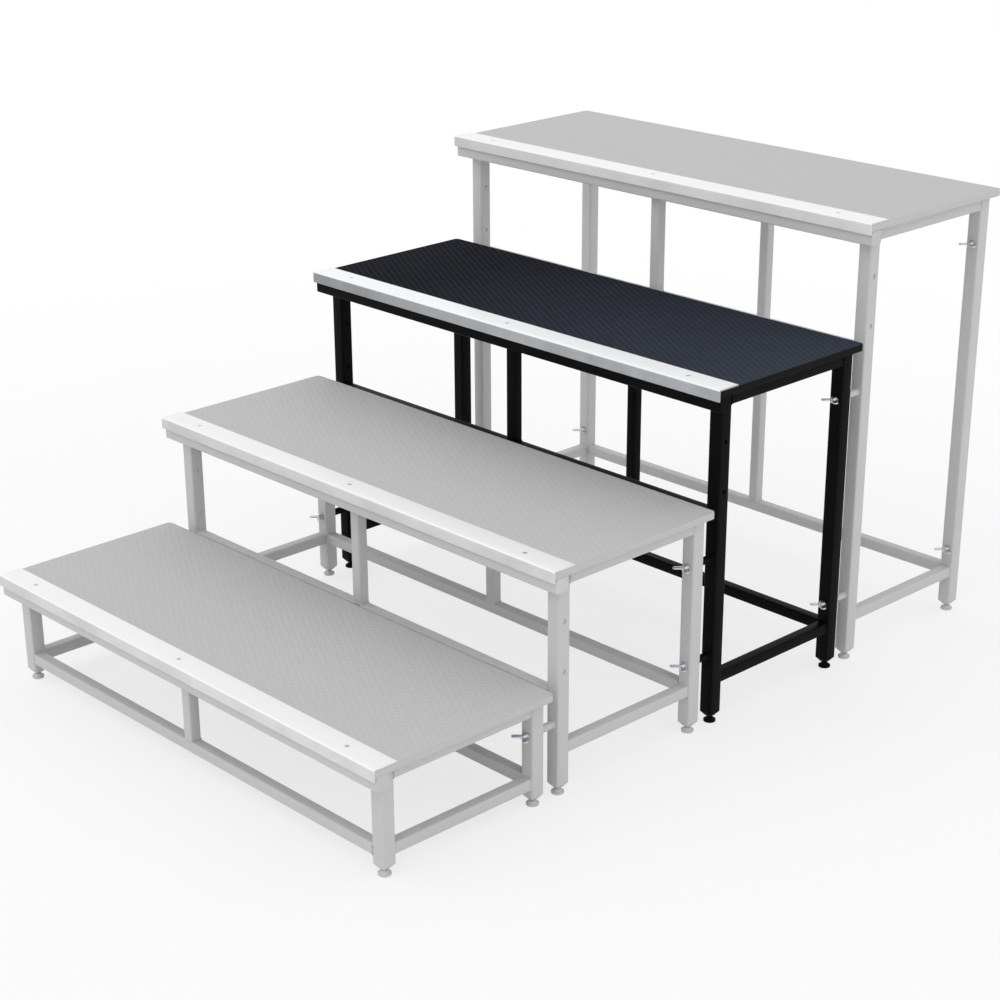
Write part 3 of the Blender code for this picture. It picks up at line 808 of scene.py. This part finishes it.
drawn_metal, drawn_in, drawn_out = shader_group(
    "drawn_metal",
    (("Bright", "NodeSocketColor", WHITE), ("Dull", "NodeSocketColor", WHITE),
     ("Stretch", "NodeSocketVector", (1, 1, 1)), ("Smoothest", "NodeSocketFloat", 0.25),
     ("Roughest", "NodeSocketFloat", 0.45)), SURFACE_OUTPUTS)
drawn_place = add_node(drawn_metal, "TexCoord").outputs["Object"]
drawn_stretch = add_node(drawn_metal, "VectorMath", {0: drawn_place, 1: drawn_in.outputs["Stretch"]},
                         operation="MULTIPLY").outputs[0]
lines = noise(drawn_metal, drawn_stretch, 1.0, detail=4.0, roughness=0.65)
clouds = noise(drawn_metal, drawn_place, METAL_CLOUDS_PER_METRE, detail=4.0)
dullness = maths(drawn_metal, "MAXIMUM", ramp(drawn_metal, lines, *TONE_RANGE),
                 ramp(drawn_metal, clouds, *CLOUD_RANGE))
metal_mix = mix_colours(drawn_metal, dullness, drawn_in.outputs["Bright"], drawn_in.outputs["Dull"])
metal_shine = ramp(drawn_metal, dullness, 0, 1, drawn_in.outputs["Smoothest"], drawn_in.outputs["Roughest"])
give_out(drawn_metal, drawn_out, Colour=metal_mix, Roughness=metal_shine, Height=lines)

# Painted shade: faces that don't look up get a darker tint, smudged at random and darker still towards the
# left end
shade_and_smudges, shade_in, shade_out = shader_group(
    "shade_and_smudges",
    (("Front Shade", "NodeSocketColor", WHITE), ("Smudged Front Shade", "NodeSocketColor", WHITE),
     ("End Shade", "NodeSocketFloat", 1.0)), (("Tint", "NodeSocketColor"),))
shade_coords = add_node(shade_and_smudges, "TexCoord").outputs
smudges = noise(shade_and_smudges, shade_coords["Object"], SMUDGES_PER_METRE, detail=6.0, roughness=0.6)
smudge_mix = mix_colours(shade_and_smudges, ramp(shade_and_smudges, smudges, *SMUDGE_RANGE), shade_in.outputs["Front Shade"],
                         shade_in.outputs["Smudged Front Shade"])
end_shade_x = add_node(shade_and_smudges, "SeparateXYZ", {0: shade_coords["Object"]}).outputs["X"]
front_shade = ramp(shade_and_smudges, end_shade_x, END_SHADE_START, END_SHADE_END, shade_in.outputs["End Shade"])
shaded_front = add_node(shade_and_smudges, "VectorMath", {0: smudge_mix, "Scale": front_shade},
                        operation="SCALE").outputs[0]
facing_up = add_node(shade_and_smudges, "SeparateXYZ", {0: shade_coords["Normal"]}).outputs["Z"]
tread_share = ramp(shade_and_smudges, facing_up, *TREAD_RANGE, curve="SMOOTHSTEP")
give_out(shade_and_smudges, shade_out, Tint=mix_colours(shade_and_smudges, tread_share, shaded_front, WHITE))


def metal_material(name, bright, dull, grain, roughness, relief, metallic=1.0):
    material, tree, shader = new_material(name, Metallic=metallic)
    effect = use_group(tree, drawn_metal, {"Bright": bright, "Dull": dull, "Stretch": grain,
                                           "Smoothest": roughness[0], "Roughest": roughness[1]})
    finish_with(tree, shader, effect, relief, METAL_BUMP)
    return material, tree, shader, effect


def nosing_material(name, bright, dull, front, smudged, end_shade, roughness, relief, metallic):
    """Drawn metal whose faces that don't look up are darkened with painted shade."""
    material, tree, shader, effect = metal_material(name, bright, dull, DIE_LINES_PER_METRE, roughness,
                                                    relief, metallic)
    facing_shade = use_group(tree, shade_and_smudges, {"Front Shade": front, "Smudged Front Shade": smudged, "End Shade": end_shade})
    toned = mix_colours(tree, 1.0, effect.outputs["Colour"], facing_shade.outputs["Tint"], "MULTIPLY")
    tree.links.new(toned, shader.inputs["Base Color"])
    return material


bright_aluminium = nosing_material("bright_aluminium", BRIGHT_METAL, BRIGHT_METAL_DULL, BRIGHT_FRONT_SHADE,
                                   BRIGHT_SMUDGED_SHADE, BRIGHT_END_SHADE, BRIGHT_ROUGHNESS,
                                   BRIGHT_RELIEF, BRIGHT_METALLIC)
pale_aluminium = nosing_material("pale_aluminium", PALE_METAL, PALE_METAL_DULL, PALE_FRONT_SHADE,
                                 PALE_SMUDGED_SHADE, PALE_END_SHADE, PALE_ROUGHNESS, PALE_RELIEF,
                                 PALE_METALLIC)


def nosing_mesh(step):
    """The angle's section swept along X, eased at its rear edge, with countersunk holes."""
    sizes = step_sizes(step)
    ease = NOSING_THICK / 2
    section = [(NOSING_THICK, -NOSING_FRONT), (0, -NOSING_FRONT)]
    for i in range(NOSING_ROUND_STEPS + 1):
        angle = pi - pi / 2 * i / NOSING_ROUND_STEPS
        section.append((NOSING_RADIUS + NOSING_RADIUS * cos(angle),
                        -NOSING_RADIUS + NOSING_RADIUS * sin(angle)))
    for i in range(NOSING_ROUND_STEPS + 1):
        angle = pi / 2 - pi / 2 * i / NOSING_ROUND_STEPS
        section.append((NOSING_TOP - ease + ease * cos(angle), -ease + ease * sin(angle)))
    section += [(NOSING_TOP, -NOSING_THICK), (NOSING_THICK, -NOSING_THICK)]
    bm = bmesh.new()
    bar(bm, "X", (sizes["front"], sizes["top"]), -sizes["half"], sizes["half"], section)
    sinks = bmesh.new()
    wide = SCREW_HEAD_RADIUS + SCREW_PLAY
    narrow = SCREW_SHANK_RADIUS + SCREW_PLAY
    for side in ("left", "middle", "right"):
        centre = middle("step%d_screw_%s" % (step, side))
        levels = ((-2 * NOSING_THICK, narrow), (-SCREW_HEAD_HEIGHT - SCREW_PLAY, narrow), (0, wide),
                  (SCREW_PLAY, wide + SCREW_PLAY))
        to_point = along("Z", centre.x, centre.y)
        skin(sinks, [[to_point(u, v, sizes["top"] + level) for u, v in round_outline(radius, HOLE_SIDES)]
                     for level, radius in levels])
    return cut("step%d_edge_angle" % step, bm, sinks)


for step in STEPS:
    black = step == BLACK_STEP
    angle_piece = show("step%d_edge_angle" % step, nosing_mesh(step),
                       [bright_aluminium if black else pale_aluminium], "stairs")
    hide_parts("step%d_nosing" % step)


# The nosing screws
# Zinc-plated countersunk wood screws with a cross recess, flush with the angle, three to a step.
SCREW_SIDES = 40
SCREW_LENGTH = 0.011
SCREW_POINT_LENGTH = 0.002
SCREW_HEAD_EDGE = 0.0002
RECESS_REACH = 0.0024
RECESS_HALF_WIDTH = 0.00055
RECESS_DEPTH = 0.0015
RECESS_TAPER = 0.6
RECESS_OVERCUT = 0.0005
ZINC_BRIGHT = (0.70, 0.72, 0.76, 1)
ZINC_DULL = (0.50, 0.52, 0.56, 1)
ZINC_ROUGHNESS = (0.24, 0.42)
ZINC_RELIEF = 0.00005
PLATED_GRAIN_PER_METRE = (260.0, 260.0, 260.0)

zinc = metal_material("zinc_plate", ZINC_BRIGHT, ZINC_DULL, PLATED_GRAIN_PER_METRE, ZINC_ROUGHNESS,
                      ZINC_RELIEF)[0]


def turned(bm, profile, sides, axis="Z"):
    """A turned solid from (radius, height) points that start and end on the axis."""
    to_point = along(axis, 0, 0)
    rings = []
    for radius, height in profile:
        points = round_outline(radius, sides) if radius else [(0, 0)]
        rings.append([bm.verts.new(to_point(u, v, height)) for u, v in points])
    faces = []
    for lower, upper in zip(rings, rings[1:]):
        for i in range(sides):
            j = (i + 1) % sides
            corners = [lower[i % len(lower)], lower[j % len(lower)],
                       upper[j % len(upper)], upper[i % len(upper)]]
            faces.append(bm.faces.new(list(dict.fromkeys(corners))))
    bmesh.ops.recalc_face_normals(bm, faces=faces)


def screw_mesh():
    """A screw, its head's flat at the origin, with a tapered cross recess."""
    head = bmesh.new()
    turned(head, ((0, 0), (SCREW_HEAD_RADIUS - SCREW_HEAD_EDGE, 0), (SCREW_HEAD_RADIUS, -SCREW_HEAD_EDGE),
                  (SCREW_SHANK_RADIUS, -SCREW_HEAD_HEIGHT),
                  (SCREW_SHANK_RADIUS, -SCREW_LENGTH + SCREW_POINT_LENGTH),
                  (SCREW_SHANK_RADIUS / 2, -SCREW_LENGTH), (0, -SCREW_LENGTH)), SCREW_SIDES)
    cross = []
    for quarter in range(4):
        turn = Matrix.Rotation(pi / 2 * quarter, 2)
        for point in ((RECESS_REACH, -RECESS_HALF_WIDTH), (RECESS_REACH, RECESS_HALF_WIDTH),
                      (RECESS_HALF_WIDTH, RECESS_HALF_WIDTH)):
            cross.append(turn @ Vector(point))
    recess = bmesh.new()
    skin(recess, [[(point.x * scale, point.y * scale, level) for point in cross]
                  for level, scale in ((RECESS_OVERCUT, 1.0), (-RECESS_DEPTH, RECESS_TAPER))])
    return cut("nosing_screw", head, recess)


screw = screw_mesh()
for step in STEPS:
    for side in ("left", "middle", "right"):
        node = "step%d_screw_%s" % (step, side)
        centre = middle(node)
        fastener = show("step%d_nosing_screw_%s" % (step, side), screw, [zinc], "stairs",
                        (centre.x, centre.y, step_sizes(step)["top"]))
        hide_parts(node)


# The screw feet
# A levelling foot in each leg: a round nylon pad moulded onto an M8 stem, whose thread runs up into
# the leg's plug. The stem is blackened in the black module and zinc plated in the others.
PAD_RADIUS = 0.0105
PAD_EDGE = 0.001
PAD_EDGE_STEPS = 4
PAD_HEIGHT = 0.004
NECK_RADIUS = 0.0055
NECK_TOP = 0.008
NECK_STEPS = 6
NECK_PULL = 0.7
NECK_LIFT = 1.4
STEM_RADIUS = 0.004
STEM_PITCH = 0.00125
STEM_CORE_SHARE = 0.85
THREAD_END = 0.046
THREAD_DEPTH_SHARE = 0.5
RINGS_PER_TURN = 6
THREAD_SIDES = 20
FOOT_SIDES = 48
BLACKENED = (0.012, 0.012, 0.013, 1)
BLACKENED_DULL = (0.008, 0.008, 0.008, 1)
BLACKENED_ROUGHNESS = (0.4, 0.55)
BLACKENED_RELIEF = 0.00004

blackened_steel = metal_material("blackened_steel", BLACKENED, BLACKENED_DULL, PLATED_GRAIN_PER_METRE,
                                 BLACKENED_ROUGHNESS, BLACKENED_RELIEF)[0]


def thread(bm, axis, radius, pitch, start, end):
    """A bar with a helical thread, closed at both ends."""
    to_point = along(axis, 0, 0)
    count = round((end - start) / pitch * RINGS_PER_TURN)
    rings = []
    for k in range(count + 1):
        ring = []
        for i in range(THREAD_SIDES):
            turn = (k / RINGS_PER_TURN - i / THREAD_SIDES) % 1
            depth = THREAD_DEPTH_SHARE * pitch * abs(2 * turn - 1)
            angle = 2 * pi * i / THREAD_SIDES
            ring.append(to_point((radius - depth) * cos(angle), (radius - depth) * sin(angle),
                                 start + (end - start) * k / count))
        rings.append(ring)
    skin(bm, rings)


def foot_mesh(top):
    """A foot with its origin on the floor: pad and neck in nylon, stem in steel."""
    bm = bmesh.new()
    profile = [(0, 0)]
    for i in range(PAD_EDGE_STEPS + 1):
        angle = -pi / 2 + pi / 2 * i / PAD_EDGE_STEPS
        profile.append((PAD_RADIUS - PAD_EDGE + PAD_EDGE * cos(angle), PAD_EDGE + PAD_EDGE * sin(angle)))
    shoulder_radius = PAD_RADIUS - PAD_EDGE / 2
    profile.append((PAD_RADIUS, PAD_HEIGHT - PAD_EDGE / 2))
    for i in range(NECK_STEPS + 1):
        share = i / NECK_STEPS
        profile.append((shoulder_radius + (NECK_RADIUS - shoulder_radius) * share ** NECK_PULL,
                        PAD_HEIGHT + (NECK_TOP - PAD_HEIGHT) * share ** NECK_LIFT))
    profile.append((0, NECK_TOP))
    turned(bm, profile, FOOT_SIDES)
    pad_faces = len(bm.faces)
    thread(bm, "Z", STEM_RADIUS, STEM_PITCH, PAD_HEIGHT, THREAD_END)
    core_radius = STEM_RADIUS * STEM_CORE_SHARE
    turned(bm, ((0, THREAD_END), (core_radius, THREAD_END), (core_radius, top), (0, top)), THREAD_SIDES)
    bm.faces.ensure_lookup_table()
    for face in bm.faces[pad_faces:]:
        face.material_index = 1
    return to_mesh("screw_foot", bm)


foot_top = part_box("step1_foot_front_left")[1][2]
feet = {}
for black, materials in ((True, (black_nylon, blackened_steel)), (False, (grey_nylon, zinc))):
    feet[black] = foot_mesh(foot_top)
    for material in materials:
        feet[black].materials.append(material)
for step in STEPS:
    for row in ("front", "rear"):
        for side in ("left", "right"):
            node = "step%d_foot_%s_%s" % (step, row, side)
            centre = middle(node)
            foot = show("step%d_screw_foot_%s_%s" % (step, row, side), feet[step == BLACK_STEP], [],
                        node + "_body", (centre.x, centre.y, 0))
            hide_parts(node)


# The spacer tubes
# A short round tube is welded over each bolt hole in front of the legs of modules 2 to 4. It keeps
# the modules apart and the wing bolt's shank passes through it.
SPACER_RADIUS = 0.0065
SPACER_BORE_RADIUS = 0.0048
SPACER_WELD = 0.0012
SPACER_WELD_HOLLOW = 0.4
SPACER_SIDES = 32


def spacer(bm, x, z, start, end):
    """A tube along Y with a weld fillet round its rear end."""
    hollow = SPACER_WELD * SPACER_WELD_HOLLOW
    section = [(SPACER_BORE_RADIUS, start), (SPACER_RADIUS, start), (SPACER_RADIUS, end - SPACER_WELD),
               (SPACER_RADIUS + hollow, end - hollow), (SPACER_RADIUS + SPACER_WELD, end),
               (SPACER_BORE_RADIUS, end)]
    rings = []
    for i in range(SPACER_SIDES):
        angle = 2 * pi * i / SPACER_SIDES
        rings.append([(x + radius * cos(angle), level, z + radius * sin(angle))
                      for radius, level in section])
    skin(bm, rings, closed=True)


for step in STEPS[1:]:
    spacers = bmesh.new()
    sizes = step_sizes(step)
    start = step_sizes(step - 1)["rear_leg"] + TUBE / 2 + RAIL_SEAT
    end = sizes["front_leg"] - TUBE / 2
    for x in (-sizes["leg_x"], sizes["leg_x"]):
        for z in bolt_heights(step - 1):
            spacer(spacers, x, z, start, end)
    coat, coat_slot = coat_of(step)
    show("step%d_spacers" % step, to_mesh("step%d_spacers" % step, spacers), [coat], "stairs")


# The wing bolts
# Cast and zinc-plated wing bolts clamp each module's rear legs to the next module's front legs. The
# hub bears on the leg, and the threaded shank crosses the space between the legs.
BOLT_RADIUS = 0.004
BOLT_PITCH = 0.00125
HUB_RADIUS = 0.0065
HUB_EDGE = 0.0006
HUB_TIP_RADIUS = 0.0048
HUB_LENGTH = 0.011
HUB_SIDE_SHARE = 0.85
HUB_TAPER = 1.5
HUB_SIDE_STEPS = 6
HUB_DOME_STEPS = 5
HUB_SIDES = 40
WING_THICK = 0.0026
WING_ROOT = 0.001
WING_ROOT_SHARES = (0.12, 0.88)
WING_NECK_SHARES = (0.95, 0.22)
WING_LOBE_RADIUS = 0.0048
WING_LOBE_STEPS = 14
WING_LOBE_START = 0.1 * pi
WING_LOBE_TURN = 0.95 * pi
WING_EDGE = 0.0009


def add_wing(bm, side, span, height):
    """One wing from inside the hub out to a round lobe that leans forward, with rounded edges."""
    tip_x = span / 2 - WING_LOBE_RADIUS
    tip_y = -height + WING_LOBE_RADIUS
    points = [(WING_ROOT, -HUB_LENGTH * WING_ROOT_SHARES[0]),
              (HUB_RADIUS * WING_NECK_SHARES[0], -HUB_LENGTH * WING_NECK_SHARES[1])]
    for i in range(WING_LOBE_STEPS + 1):
        angle = WING_LOBE_START - WING_LOBE_TURN * i / WING_LOBE_STEPS
        points.append((tip_x + WING_LOBE_RADIUS * cos(angle), tip_y + WING_LOBE_RADIUS * sin(angle)))
    points.append((WING_ROOT, -HUB_LENGTH * WING_ROOT_SHARES[1]))
    faces = skin(bm, [[(side * x, y, z) for x, y in points] for z in (-WING_THICK / 2, WING_THICK / 2)])
    round_rims(bm, dict.fromkeys(edge for face in faces for edge in face.edges), WING_EDGE)


def bolt_mesh(node, seat):
    """A wing bolt with its origin on its axis at the seat, as long and as wide as the CAD node."""
    low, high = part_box(node)
    bm = bmesh.new()
    profile = [(0, 0), (HUB_RADIUS - HUB_EDGE, 0), (HUB_RADIUS, -HUB_EDGE)]
    for i in range(1, HUB_SIDE_STEPS + 1):
        share = i / HUB_SIDE_STEPS
        profile.append((HUB_RADIUS + (HUB_TIP_RADIUS - HUB_RADIUS) * share ** HUB_TAPER,
                        -HUB_LENGTH * HUB_SIDE_SHARE * share))
    for i in range(1, HUB_DOME_STEPS):
        angle = pi / 2 * i / HUB_DOME_STEPS
        profile.append((HUB_TIP_RADIUS * cos(angle),
                        -HUB_LENGTH * (HUB_SIDE_SHARE + (1 - HUB_SIDE_SHARE) * sin(angle))))
    profile.append((0, -HUB_LENGTH))
    turned(bm, profile, HUB_SIDES, "Y")
    thread(bm, "Y", BOLT_RADIUS, BOLT_PITCH, 0, high[1] - seat)
    for side in (-1, 1):
        add_wing(bm, side, high[0] - low[0], seat - low[1])
    return to_mesh("wing_bolt", bm)


bolts = {}
for step in STEPS:
    seat = step_sizes(step)["rear_leg"] - TUBE / 2 - RAIL_SEAT
    long_shank = step != STEPS[-1]
    for level in ("lower", "upper") if step > STEPS[0] else ("lower",):
        for side in ("left", "right"):
            node = "step%d_wing_bolt_%s_%s" % (step, level, side)
            if long_shank not in bolts:
                bolts[long_shank] = bolt_mesh(node, seat)
            centre = middle(node)
            bolt = show("step%d_thumb_bolt_%s_%s" % (step, level, side), bolts[long_shank], [zinc],
                        node + "_body", (centre.x, seat, centre.z))
            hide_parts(node)
